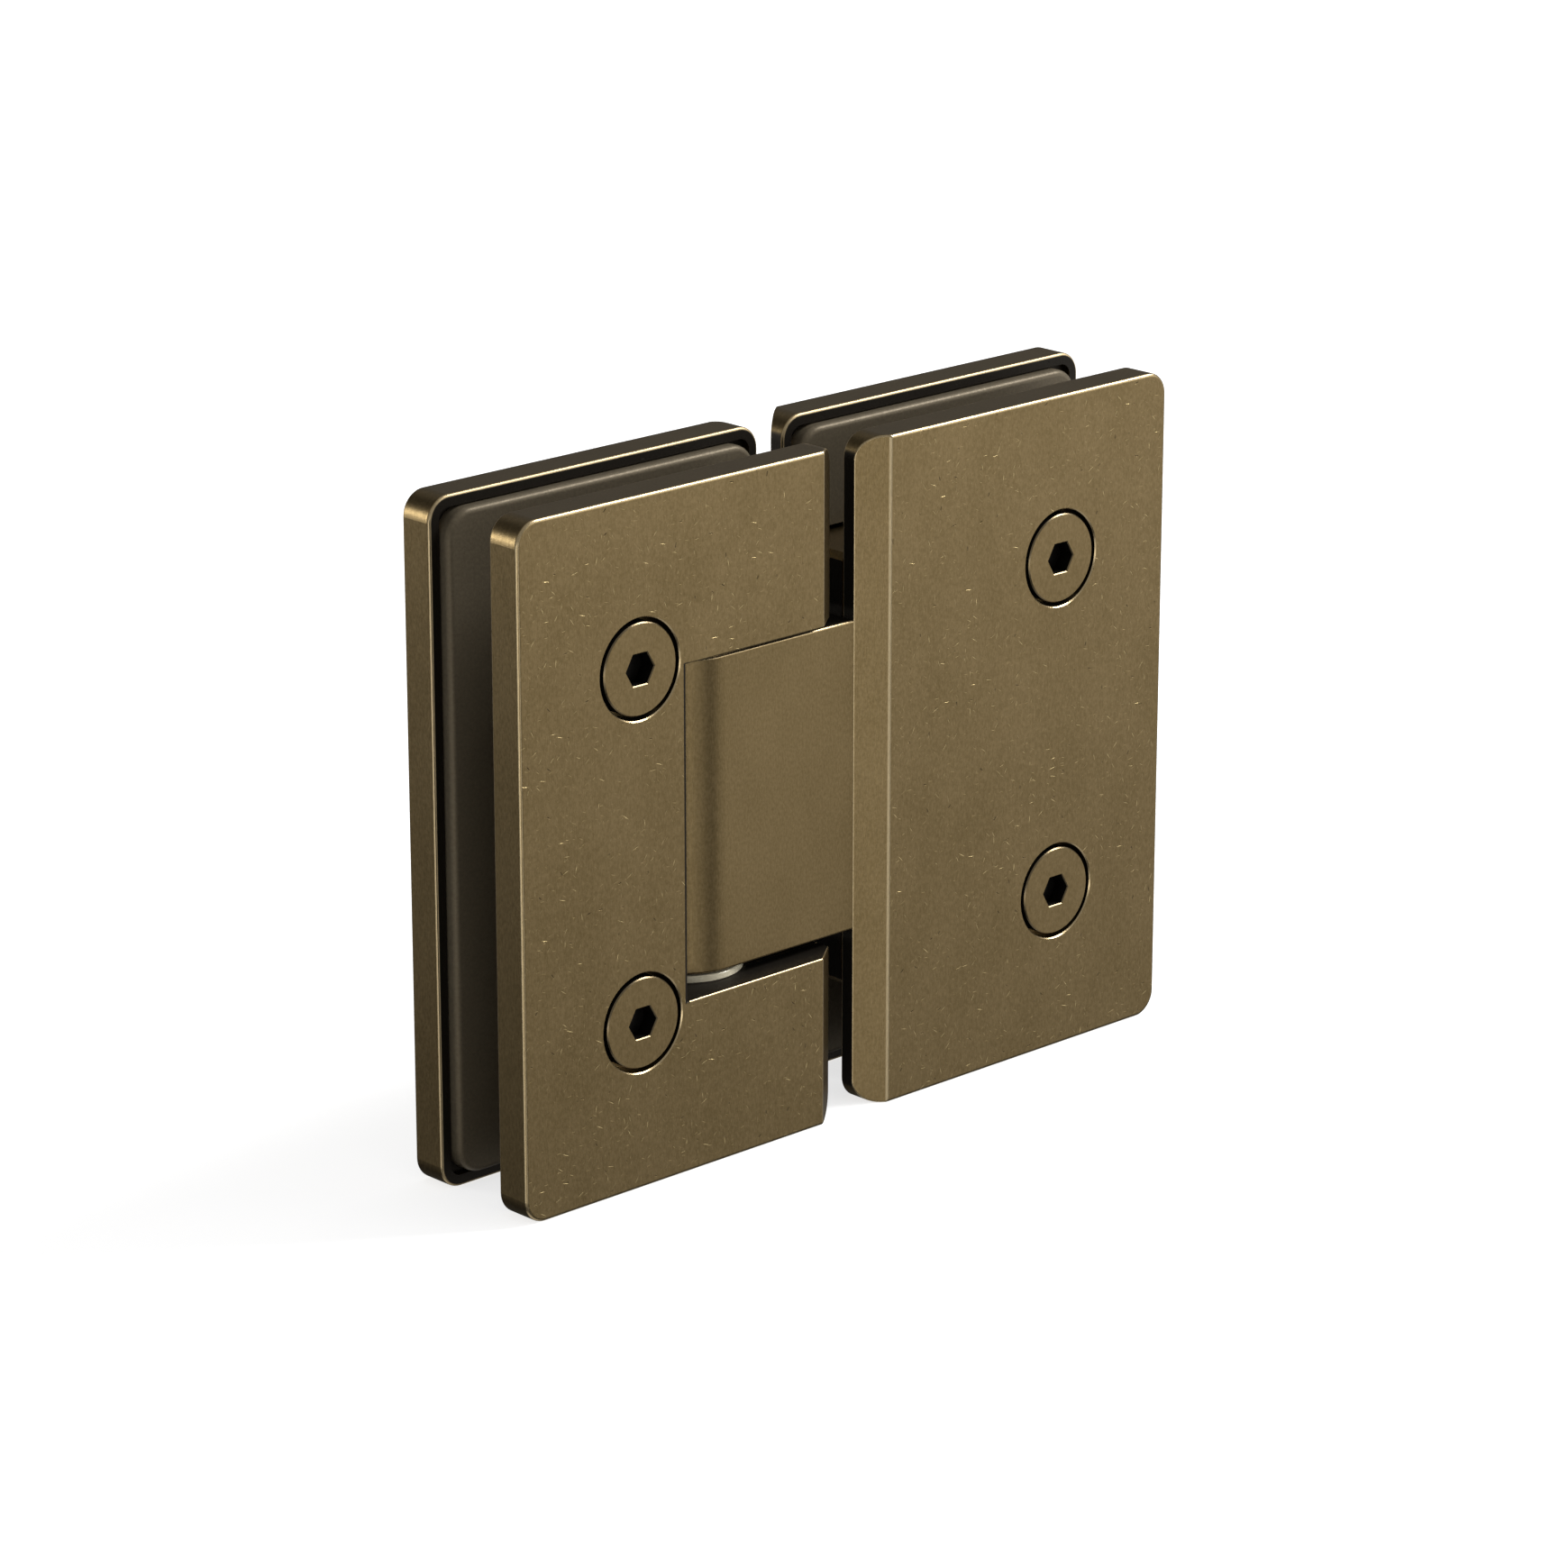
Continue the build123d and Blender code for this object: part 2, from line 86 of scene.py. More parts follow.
class Nodes:
    """A short hand for adding and joining shader nodes in one tree."""

    def __init__(self, tree: bpy.types.NodeTree) -> None:
        """Keeps the tree.

        Args:
            tree: The node tree that gets the nodes.
        """
        self.tree = tree

    def add(self, kind: str, **settings: object) -> bpy.types.Node:
        """Adds a node.

        Args:
            kind: The node's type name, such as ShaderNodeMath.
            **settings: Properties to set on it.

        Returns:
            The new node.
        """
        node = self.tree.nodes.new(kind)
        for name, value in settings.items():
            setattr(node, name, value)
        return node

    def join(self, source: object, target: bpy.types.NodeSocket) -> None:
        """Joins an output, or sets a plain value, to an input.

        Args:
            source: An output socket, a number or a tuple.
            target: The input socket.
        """
        if isinstance(source, bpy.types.NodeSocket):
            self.tree.links.new(source, target)
        else:
            target.default_value = source

    def math(self, operation: str, a: object, b: object = 0.0, c: object = 0.0) -> bpy.types.NodeSocket:
        """Adds a Math node.

        Args:
            operation: What it does, such as MULTIPLY.
            a: First value.
            b: Second value.
            c: Third value.

        Returns:
            Its output.
        """
        node = self.add("ShaderNodeMath", operation=operation)
        for value, socket in zip((a, b, c), node.inputs):
            self.join(value, socket)
        return node.outputs[0]

    def square(self, value: object) -> bpy.types.NodeSocket:
        """Squares a value."""
        return self.math("POWER", self.math("ABSOLUTE", value), 2.0)

    def vector(self, operation: str, a: object, b: object = (0.0, 0.0, 0.0)) -> bpy.types.Node:
        """Adds a Vector Math node.

        Args:
            operation: What it does, such as MULTIPLY.
            a: First vector.
            b: Second vector.

        Returns:
            The node.
        """
        node = self.add("ShaderNodeVectorMath", operation=operation)
        self.join(a, node.inputs[0])
        self.join(b, node.inputs[1])
        return node

    def facing(self, a: object, b: object) -> bpy.types.NodeSocket:
        """Tells how closely two directions agree, as the cosine of the angle between them."""
        return self.vector("DOT_PRODUCT", a, b).outputs["Value"]

    def split(self, vector: bpy.types.NodeSocket) -> bpy.types.NodeOutputs:
        """Splits a vector.

        Args:
            vector: The vector's socket.

        Returns:
            The sockets of its X, Y and Z, by those names.
        """
        node = self.add("ShaderNodeSeparateXYZ")
        self.join(vector, node.inputs[0])
        return node.outputs

    def smooth(self, value: object, low: float, high: float, to_low: float = 0.0,
               to_high: float = 1.0) -> bpy.types.NodeSocket:
        """Adds a smooth step between two values.

        Args:
            value: The value that is mapped.
            low: Where the step starts.
            high: Where it ends.
            to_low: The result at the start.
            to_high: The result at the end.

        Returns:
            The mapped value.
        """
        node = self.add("ShaderNodeMapRange", interpolation_type="SMOOTHSTEP")
        for item, socket in zip((value, low, high, to_low, to_high), node.inputs):
            self.join(item, socket)
        return node.outputs[0]

    def mask(self, value: object, step: Step) -> bpy.types.NodeSocket:
        """Adds a mask from 0 to 1.

        Args:
            value: The value that it follows.
            step: Where it is empty and where it is full. Either may be the lower value.

        Returns:
            The mask.
        """
        if step.empty < step.full:
            return self.smooth(value, step.empty, step.full)
        return self.smooth(value, step.full, step.empty, 1.0, 0.0)

    def mix(self, factor: object, a: object, b: object) -> bpy.types.NodeSocket:
        """Mixes two colours.

        Args:
            factor: How much of the second.
            a: First colour.
            b: Second colour.

        Returns:
            The mixed colour.
        """
        node = self.add("ShaderNodeMix", data_type="RGBA")
        self.join(factor, node.inputs[MIX_FACTOR])
        self.join(rgba(a), node.inputs[MIX_FIRST])
        self.join(rgba(b), node.inputs[MIX_SECOND])
        return node.outputs[MIX_RESULT]

    def group(self, tree: bpy.types.NodeTree, **values: object) -> bpy.types.NodeOutputs:
        """Places a node group.

        Args:
            tree: The group.
            **values: Its inputs by name.

        Returns:
            The outputs of the group's node.
        """
        node = self.add("ShaderNodeGroup", node_tree=tree)
        for name, value in values.items():
            self.join(value, node.inputs[name])
        return node.outputs


def rgba(colour: object) -> object:
    """Adds an alpha of 1 to a plain colour, and leaves a socket as it is."""
    if isinstance(colour, tuple):
        return (*colour, 1.0)
    return colour


class GroupDraft:
    """A shader node group that is being built."""

    def __init__(self, name: str, inputs: dict[str, str], outputs: tuple[str, ...]) -> None:
        """Starts the group.

        Args:
            name: The group's name.
            inputs: The kind of each input socket, by the socket's name.
            outputs: The names of the output sockets, which are all plain values.
        """
        self.tree = bpy.data.node_groups.new(name, "ShaderNodeTree")
        for title, kind in inputs.items():
            self.tree.interface.new_socket(title, in_out="INPUT", socket_type="NodeSocket" + kind)
        for title in outputs:
            self.tree.interface.new_socket(title, in_out="OUTPUT", socket_type="NodeSocketFloat")
        self.nodes = Nodes(self.tree)
        self.given = self.nodes.add("NodeGroupInput").outputs
        self.result = self.nodes.add("NodeGroupOutput").inputs


@dataclass(frozen=True)
class NickEffect:
    """Short scratches in random directions on the front and rear faces.

    The group's Spacing, Length and Width are millimetres, and Share is the part of the cells that has a
    scratch. Its Mask is 1 on a scratch.
    """

    body: Step = Step(1.0, 0.35)
    weakest: float = 0.35
    flat_limit: float = 0.97

    def build(self) -> bpy.types.NodeTree:
        """Makes the group.

        Returns:
            The node group.
        """
        draft = GroupDraft(
            "Nicks",
            {"Place": "Vector", "Spacing": "Float", "Length": "Float", "Width": "Float", "Share": "Float"},
            ("Mask",),
        )
        n = draft.nodes
        given = draft.given
        place = n.split(given["Place"])
        flat = n.add("ShaderNodeCombineXYZ")
        n.join(place["X"], flat.inputs["X"])
        n.join(place["Z"], flat.inputs["Y"])
        spread = n.add("ShaderNodeCombineXYZ")
        for socket in spread.inputs:
            n.join(given["Spacing"], socket)
        scaled = n.vector("DIVIDE", flat.outputs[0], spread.outputs[0]).outputs[0]
        cells = n.add("ShaderNodeTexVoronoi", voronoi_dimensions="2D", feature="F1")
        n.join(scaled, cells.inputs["Vector"])
        n.join(1.0, cells.inputs["Scale"])
        away = n.vector("SUBTRACT", scaled, cells.outputs["Position"]).outputs[0]
        away = n.vector("MULTIPLY", away, spread.outputs[0]).outputs[0]
        chance = n.add("ShaderNodeSeparateColor")
        n.join(cells.outputs["Color"], chance.inputs[0])
        turn = n.add("ShaderNodeVectorRotate", rotation_type="Z_AXIS")
        n.join(away, turn.inputs["Vector"])
        n.join(n.math("MULTIPLY", chance.outputs["Red"], 2 * math.pi), turn.inputs["Angle"])
        parts = n.split(turn.outputs[0])
        strength = n.smooth(chance.outputs["Blue"], 0.0, 1.0, self.weakest, 1.0)
        along = n.math("DIVIDE", parts["X"], n.math("MULTIPLY", given["Length"], strength))
        across = n.math("DIVIDE", parts["Y"], given["Width"])
        distance = n.math("SQRT", n.math("ADD", n.square(along), n.square(across)))
        shown = n.math("LESS_THAN", chance.outputs["Green"], given["Share"])
        towards = n.split(n.add("ShaderNodeTexCoord").outputs["Normal"])
        front = n.math("GREATER_THAN", n.math("ABSOLUTE", towards["Y"]), self.flat_limit)
        scratch = n.math("MULTIPLY", n.mask(distance, self.body), shown)
        n.join(n.math("MULTIPLY", scratch, n.math("MULTIPLY", strength, front)), draft.result["Mask"])
        return draft.tree


@dataclass(frozen=True)
class EdgeEffect:
    """The rounded edges, where the patina is rubbed off and a highlight is painted, and the hidden faces,
    where shade is painted.

    The group's Sides is 1 where upright edges count too. Its Mask is 1 on the roundings between a front
    or rear face and another face. Its second output, painted shade, is 1 on the faces that look towards
    the glass, into the gap between the leaves or into the notch, and on a painted shadow line beside the
    barrel. Its third output, a painted highlight, is 1 where a front or rear face meets its bevel.
    """

    rounded: Step = Step(0.14, 0.40)
    off_bevel: Step = Step(0.996, 0.988)
    to_glass: Step = Step(-0.5, -0.9)
    square_on: Step = Step(0.8, 0.98)
    ridge_turn: Step = Step(0.05, 0.16)
    ridge_mm: Step = Step(0.35, 0.25)
    seam_shadow_mm: Step = Step(0.44, 0.36)
    fade_mm: float = 0.3

    def within(self, n: Nodes, distance: bpy.types.NodeSocket, limit_mm: float) -> bpy.types.NodeSocket:
        """Masks what lies nearer than a limit.

        Args:
            n: The node helper.
            distance: The distance, in millimetres.
            limit_mm: The limit.

        Returns:
            The mask, which is full up to a hair past the limit.
        """
        limit = limit_mm + HAIR_MM
        return n.mask(distance, Step(limit + self.fade_mm, limit))

    def build(self) -> bpy.types.NodeTree:
        """Makes the group.

        Returns:
            The node group.
        """
        draft = GroupDraft("Edges", {"Place": "Vector", "Sides": "Float"}, ("Mask", "Inside", "Ridge_highlight"))
        n = draft.nodes
        sides = draft.given["Sides"]
        normal = n.add("ShaderNodeTexCoord").outputs["Normal"]
        unsigned = n.vector("ABSOLUTE", normal).outputs[0]
        size = n.split(unsigned)
        level = n.math("MULTIPLY", size["Y"], size["Z"])
        upright = n.math("MULTIPLY", n.math("MULTIPLY", size["Y"], size["X"]), sides)
        # The roundings, where the patina is rubbed off and a highlight is painted
        rounded = n.mask(n.math("MAXIMUM", level, upright), self.rounded)
        rubbed_and_lit = n.math("MULTIPLY", rounded, n.mask(n.facing(unsigned, BEVEL_NORMAL), self.off_bevel))

        # Painted shade: the faces towards the glass, into the gap and into the notch are darkened
        place = n.split(draft.given["Place"])
        outward = n.math("MULTIPLY", n.math("SIGN", place["Y"]), n.split(normal)["Y"])
        slot = n.mask(outward, self.to_glass)
        off_gap = n.math("ABSOLUTE", place["X"])
        in_gap = self.within(n, off_gap, LEAF_INNER_MM)
        gap = n.math("MULTIPLY", in_gap, n.mask(size["X"], self.square_on))
        off_middle = n.math("ABSOLUTE", n.math("SUBTRACT", place["Z"], MIDDLE * MM_PER_M))
        in_notch = self.within(n, off_middle, NOTCH_HALF_MM)
        notch = n.math("MULTIPLY", in_notch, n.mask(size["Z"], self.square_on))

        # Painted shadow: a thin dark line on the plates beside the barrel
        off_wall = n.math("ABSOLUTE", n.math("ADD", place["X"], NOTCH_WALL_MM))
        seam_shadow = n.math("MULTIPLY", n.mask(off_wall, self.seam_shadow_mm), in_notch)
        seam_shadow = n.math("MULTIPLY", seam_shadow, sides)
        n.join(n.math("MULTIPLY", rubbed_and_lit, n.math("SUBTRACT", 1.0, seam_shadow)), draft.result["Mask"])
        painted_shade = n.math("MAXIMUM", slot, n.math("MAXIMUM", gap, notch))
        n.join(n.math("MAXIMUM", painted_shade, seam_shadow), draft.result["Inside"])

        # Painted highlight: a bright line along the ridge where a face meets its bevel
        off_ridge = n.math("ABSOLUTE", n.math("SUBTRACT", off_gap, RIDGE_MM))
        ridge_highlight = n.math("MULTIPLY", n.mask(upright, self.ridge_turn), n.mask(off_ridge, self.ridge_mm))
        n.join(ridge_highlight, draft.result["Ridge_highlight"])
        return draft.tree


@dataclass(frozen=True)
class GrainEffect:
    """Noise for grain and mottling.

    The group's Stretch divides the place, in millimetres. Its Value runs from 0 to 1.
    """

    fineness: float = 0.6
    contrast: Step = Step(0.25, 0.75)

    def build(self) -> bpy.types.NodeTree:
        """Makes the group.

        Returns:
            The node group.
        """
        draft = GroupDraft("Grain", {"Place": "Vector", "Stretch": "Vector", "Detail": "Float"}, ("Value",))
        n = draft.nodes
        scaled = n.vector("DIVIDE", draft.given["Place"], draft.given["Stretch"])
        noise = n.add("ShaderNodeTexNoise")
        n.join(scaled.outputs[0], noise.inputs["Vector"])
        n.join(1.0, noise.inputs["Scale"])
        n.join(draft.given["Detail"], noise.inputs["Detail"])
        n.join(self.fineness, noise.inputs["Roughness"])
        n.join(n.mask(noise.outputs["Fac"], self.contrast), draft.result["Value"])
        return draft.tree


class Groups:
    """The node groups that the finishes share."""

    def __init__(self) -> None:
        """Builds each group once."""
        self.nicks = NickEffect().build()
        self.grain = GrainEffect().build()
        self.edges = EdgeEffect().build()


class Canvas:
    """A new material with one Principled shader, and the place on the piece in millimetres."""

    def __init__(self, name: str, groups: Groups) -> None:
        """Starts the material.

        Args:
            name: The material's name.
            groups: The shared node groups.
        """
        self.material = bpy.data.materials.new(name)
        self.material.use_nodes = True
        self.groups = groups
        self.n = Nodes(self.material.node_tree)
        self.inputs = self.material.node_tree.nodes["Principled BSDF"].inputs
        where = self.n.add("ShaderNodeTexCoord").outputs["Object"]
        self.place = self.n.vector("MULTIPLY", where, (MM_PER_M, MM_PER_M, MM_PER_M)).outputs[0]

    def bump(self, height: bpy.types.NodeSocket) -> None:
        """Feeds a height in millimetres to the shader's normal.

        Args:
            height: The height.
        """
        bump = self.n.add("ShaderNodeBump")
        bump.inputs["Distance"].default_value = 1.0 / MM_PER_M
        bump.inputs["Strength"].default_value = 1.0
        self.n.join(height, bump.inputs["Height"])
        self.n.join(bump.outputs[0], self.inputs["Normal"])


@dataclass(frozen=True)
class Mottle:
    """One layer of noise, stretched by so many millimetres each way."""

    stretch: Triple
    detail: float = 3.0

    def place(self, canvas: Canvas) -> bpy.types.NodeSocket:
        """Places the layer in a material.

        Args:
            canvas: The material.

        Returns:
            A value from 0 to 1.
        """
        grain = canvas.groups.grain
        return canvas.n.group(grain, Place=canvas.place, Stretch=self.stretch, Detail=self.detail)["Value"]


@dataclass(frozen=True)
class Scratches:
    """One layer of scratches, in millimetres, and the share of its cells that has one."""

    spacing: float
    length: float
    width: float
    share: float
    shift: Triple = (0.0, 0.0, 0.0)

    def place(self, canvas: Canvas, amount: float) -> bpy.types.NodeSocket:
        """Places the layer in a material.

        Args:
            canvas: The material.
            amount: 1 for all of its scratches, 0 for none.

        Returns:
            A mask that is 1 on a scratch.
        """
        where = canvas.n.vector("ADD", canvas.place, self.shift).outputs[0]
        outputs = canvas.n.group(canvas.groups.nicks, Place=where, Spacing=self.spacing, Length=self.length,
                                 Width=self.width, Share=self.share * amount)
        return outputs["Mask"]


@dataclass(frozen=True)
class Brass:
    """Aged, brushed brass.

    The colours are linear. Depths are millimetres. The edge colour is rubbed-off patina with a painted
    highlight, the ridge colour is a painted highlight, and the colour of the hidden faces is painted
    shade. A deep_mm above 0 darkens what lies nearer to the middle of the glass than that, as painted
    shade.
    """

    name: str
    colour: Colour = (0.262, 0.190, 0.092)
    dark: Colour = (0.162, 0.114, 0.048)
    nick: Colour = (0.80, 0.62, 0.31)
    pit: Colour = (0.065, 0.046, 0.024)
    # Rubbed-off patina with a painted highlight, on the rounded edges
    wear_and_edge_light: Colour = (0.54, 0.42, 0.24)
    # Painted highlight along the bevel's ridge
    ridge_highlight: Colour = (0.43, 0.34, 0.20)
    # Painted shade on the faces towards the glass, in the gap, in the notch and beside the barrel
    painted_shade: Colour = (0.016, 0.012, 0.007)
    upright_edges: float = 1.0
    nicks: float = 1.0
    deep_mm: float = 0.0
    deep_fade: float = 0.04
    roughness: float = 0.34
    grain_depth: float = 0.0055
    grain: Mottle = Mottle((0.16, 0.16, 0.9))
    cloud: Mottle = Mottle((9.0, 9.0, 14.0), 4.0)
    fleck: Mottle = Mottle((0.35, 0.35, 0.5), 2.0)
    grain_share: float = 0.24
    cloud_share: float = 0.26
    fleck_share: float = 0.50
    large: Scratches = Scratches(1.9, 0.72, 0.057, 0.8)
    knocked: Mottle = Mottle((6.0, 6.0, 6.0), 2.0)
    knocked_range: Step = Step(0.40, 0.72)
    small: Scratches = Scratches(1.15, 0.45, 0.045, 0.5)
    small_strength: float = 0.3
    nick_depth: float = 0.03
    pits: Scratches = Scratches(3.4, 0.42, 0.085, 0.34, (61.0, 0.0, 37.0))
    pit_strength: float = 0.6
    pit_depth: float = 0.05
    grain_rough: float = 0.08
    pit_rough: float = 0.2
    worn_polish: float = 0.05
    inside_rough: float = 0.25
    inside_metallic: float = 0.7

    def tone(self, canvas: Canvas, grain: bpy.types.NodeSocket) -> bpy.types.NodeSocket:
        """Mixes the brass from its dark and its light colour.

        Args:
            canvas: The material.
            grain: The brushed grain.

        Returns:
            The colour.
        """
        n = canvas.n
        cloud = n.math("MULTIPLY", self.cloud.place(canvas), self.cloud_share)
        fleck = n.math("MULTIPLY", self.fleck.place(canvas), self.fleck_share)
        tone = n.math("ADD", n.math("MULTIPLY", grain, self.grain_share), cloud)
        return n.mix(n.math("ADD", tone, fleck), self.dark, self.colour)

    def bright_nicks(self, canvas: Canvas) -> bpy.types.NodeSocket:
        """Masks the bright scratches, the large ones only where the plate was knocked most.

        Args:
            canvas: The material.

        Returns:
            The mask.
        """
        n = canvas.n
        most = n.mask(self.knocked.place(canvas), self.knocked_range)
        large = n.math("MULTIPLY", self.large.place(canvas, self.nicks), most)
        small = n.math("MULTIPLY", self.small.place(canvas, self.nicks), self.small_strength)
        return n.math("MAXIMUM", large, small)

    def build(self, groups: Groups) -> bpy.types.Material:
        """Makes the material.

        Args:
            groups: The shared node groups.

        Returns:
            The material.
        """
        canvas = Canvas(self.name, groups)
        n = canvas.n
        grain = self.grain.place(canvas)
        bright = self.bright_nicks(canvas)
        pits = self.pits.place(canvas, self.nicks)
        edges = n.group(groups.edges, Place=canvas.place, Sides=self.upright_edges)
        colour = n.mix(bright, self.tone(canvas, grain), self.nick)
        colour = n.mix(n.math("MULTIPLY", pits, self.pit_strength), colour, self.pit)
        # Painted shade on the hidden faces
        colour = n.mix(edges["Inside"], colour, self.painted_shade)
        # Rubbed edges with a painted highlight
        colour = n.mix(edges["Mask"], colour, self.wear_and_edge_light)
        # Painted highlight along the ridge
        colour = n.mix(edges["Ridge_highlight"], colour, self.ridge_highlight)
        shaded = edges["Inside"]
        # Painted shade on what lies deeper than deep_mm, such as the screws' sockets
        if self.deep_mm > 0:
            depth = n.split(n.vector("ABSOLUTE", canvas.place).outputs[0])["Y"]
            deep = n.mask(depth, Step(self.deep_mm, self.deep_mm - self.deep_fade))
            colour = n.mix(deep, colour, self.painted_shade)
            shaded = n.math("MAXIMUM", shaded, deep)
        n.join(colour, canvas.inputs["Base Color"])

        rough = n.math("MULTIPLY_ADD", grain, self.grain_rough, self.roughness - self.grain_rough / 2)
        rough = n.math("ADD", rough, n.math("MULTIPLY", pits, self.pit_rough))
        rough = n.math("SUBTRACT", rough, n.math("MULTIPLY", edges["Mask"], self.worn_polish))
        n.join(n.math("MULTIPLY_ADD", shaded, self.inside_rough, rough), canvas.inputs["Roughness"])
        n.join(n.smooth(shaded, 0.0, 1.0, 1.0, self.inside_metallic), canvas.inputs["Metallic"])

        height = n.math("MULTIPLY", grain, self.grain_depth)
        height = n.math("SUBTRACT", height, n.math("MULTIPLY", bright, self.nick_depth))
        canvas.bump(n.math("SUBTRACT", height, n.math("MULTIPLY", pits, self.pit_depth)))
        return canvas.material


@dataclass(frozen=True)
class Plain:
    """A plastic, rubber or steel finish with a little mottling."""

    name: str
    colour: Colour
    dark: Colour
    roughness: float
    metallic: float = 0.0
    grain: Mottle = Mottle((0.4, 0.4, 0.4))
    grain_rough: float = 0.1
    grain_depth: float = 0.01
    specular: float = 0.5
    tint: Colour = (1.0, 1.0, 1.0)

    def build(self, groups: Groups) -> bpy.types.Material:
        """Makes the material.

        Args:
            groups: The shared node groups.

        Returns:
            The material.
        """
        canvas = Canvas(self.name, groups)
        n = canvas.n
        grain = self.grain.place(canvas)
        n.join(n.mix(grain, self.dark, self.colour), canvas.inputs["Base Color"])
        rough = n.math("MULTIPLY_ADD", grain, self.grain_rough, self.roughness - self.grain_rough / 2)
        n.join(rough, canvas.inputs["Roughness"])
        canvas.inputs["Metallic"].default_value = self.metallic
        canvas.inputs["Specular IOR Level"].default_value = self.specular
        canvas.inputs["Specular Tint"].default_value = rgba(self.tint)
        canvas.bump(n.math("MULTIPLY", grain, self.grain_depth))
        return canvas.material


Finish = Brass | Plain

PLATE = Brass("aged_brass")
SMOOTH = Brass("smooth_brass", nicks=0.0, grain_depth=0.006, upright_edges=0.0)
# A darker copy of the brass: painted shade on the pin block between the plates
SHADED_BLOCK = Brass("shaded_block_brass", (0.095, 0.070, 0.037), (0.066, 0.048, 0.024), nicks=0.0, upright_edges=0.0)
# The screws' edge colour is darker than the brass, painted shade that dims the highlights on their rims,
# and deep_mm paints shade in their sockets
SCREW = Brass("screw_brass", wear_and_edge_light=(0.20, 0.155, 0.09), painted_shade=(0.008, 0.006, 0.004), nicks=0.0,
              deep_mm=10.49, roughness=0.36, grain_depth=0.005)
RUBBER = Plain("pad_rubber", (0.140, 0.116, 0.078), (0.108, 0.089, 0.060), 0.42, grain_depth=0.006,
               tint=(1.0, 0.80, 0.52))
STEEL = Plain("pin_steel", (0.55, 0.55, 0.56), (0.45, 0.45, 0.46), 0.28, 1.0, Mottle((0.1, 0.1, 3.0)))
DARK_STEEL = Plain("dark_steel", (0.06, 0.06, 0.065), (0.03, 0.03, 0.032), 0.4, 1.0)
WASHER = Plain("washer_plastic", (1.0, 0.92, 0.69), (0.97, 0.88, 0.65), 0.25, specular=0.8)
BUSH = Plain("bush_plastic", (0.80, 0.77, 0.68), (0.74, 0.71, 0.62), 0.4)


@dataclass
class Leaf:
    """What both leaves have: two plates, two pads, the clamp screws and the block screws."""

    side: Side
    plate: Finish = PLATE
    pad: Finish = RUBBER
    clamp_screw: Finish = SCREW
    block_screw: Finish = DARK_STEEL

    def finishes(self) -> dict[str, Finish]:
        """The finish of each node of the leaf.

        Returns:
            The finishes, by the nodes' names.
        """
        side = self.side.value
        finishes: dict[str, Finish] = {}
        for face in Face:
            finishes[f"{side}_{face.value}_plate"] = self.plate
            finishes[f"{side}_{face.value}_pad"] = self.pad
        finishes[f"{side}_clamp_screws"] = self.clamp_screw
        finishes[f"{side}_block_screws"] = self.block_screw
        return finishes

    def dress(self, groups: Groups, made: dict[str, bpy.types.Material]) -> None:
        """Puts each finish on its node.

        Args:
            groups: The shared node groups.
            made: The materials made so far, by name, which this adds to.
        """
        for node, finish in self.finishes().items():
            if finish.name not in made:
                made[finish.name] = finish.build(groups)
            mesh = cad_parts[node].data
            mesh.materials.clear()
            mesh.materials.append(made[finish.name])
            LOG.info("%s leaf: %s is %s", self.side.value, node, finish.name)


@dataclass
class FixedLeaf(Leaf):
    """The left leaf, whose pin block holds the pin and the washers."""

    side: Side = Side.LEFT
    block: Finish = SHADED_BLOCK
    pin: Finish = STEEL
    washer: Finish = WASHER
    grub_screw: Finish = DARK_STEEL

    def finishes(self) -> dict[str, Finish]:
        """The finish of each node of the leaf.

        Returns:
            The finishes, by the nodes' names.
        """
        return super().finishes() | {
            "pin_block": self.block,
            "hinge_pin": self.pin,
            "lower_washer": self.washer,
            "upper_washer": self.washer,
            "pin_grub_screws": self.grub_screw,
        }


@dataclass
class DoorLeaf(Leaf):
    """The right leaf, whose knuckle turns on the pin and holds the bushes and the detents."""

    side: Side = Side.RIGHT
    knuckle: Finish = SMOOTH
    bush: Finish = BUSH
    detent: Finish = STEEL
    spring_screw: Finish = DARK_STEEL

    def finishes(self) -> dict[str, Finish]:
        """The finish of each node of the leaf.

        Returns:
            The finishes, by the nodes' names.
        """
        finishes = super().finishes() | {"knuckle": self.knuckle, "spring_screws": self.spring_screw}
        for end in ("lower", "upper"):
            finishes[f"{end}_bush"] = self.bush
            finishes[f"{end}_spring"] = self.detent
            finishes[f"{end}_plunger"] = self.detent
        return finishes


@dataclass(frozen=True)
class Patch:
    """A soft bright or dark patch of the studio round the hinge."""

    towards: Triple
    inner_deg: float
    outer_deg: float
    level: float


@dataclass(frozen=True)
class Lamp:
    """A square area lamp that points at the middle of the hinge."""

    name: str
    place: Triple
    size: float
    watts: float

    def build(self) -> None:
        """Adds the lamp to the scene."""
        data = bpy.data.lights.new(self.name, "AREA")
        data.shape = "SQUARE"
        data.size = self.size
        data.energy = self.watts
        lamp = bpy.data.objects.new(self.name, data)
        lamp.location = self.place
        aim = Vector((0, 0, MIDDLE)) - Vector(self.place)
        lamp.rotation_euler = aim.to_track_quat("-Z", "Y").to_euler()
        bpy.context.scene.collection.objects.link(lamp)


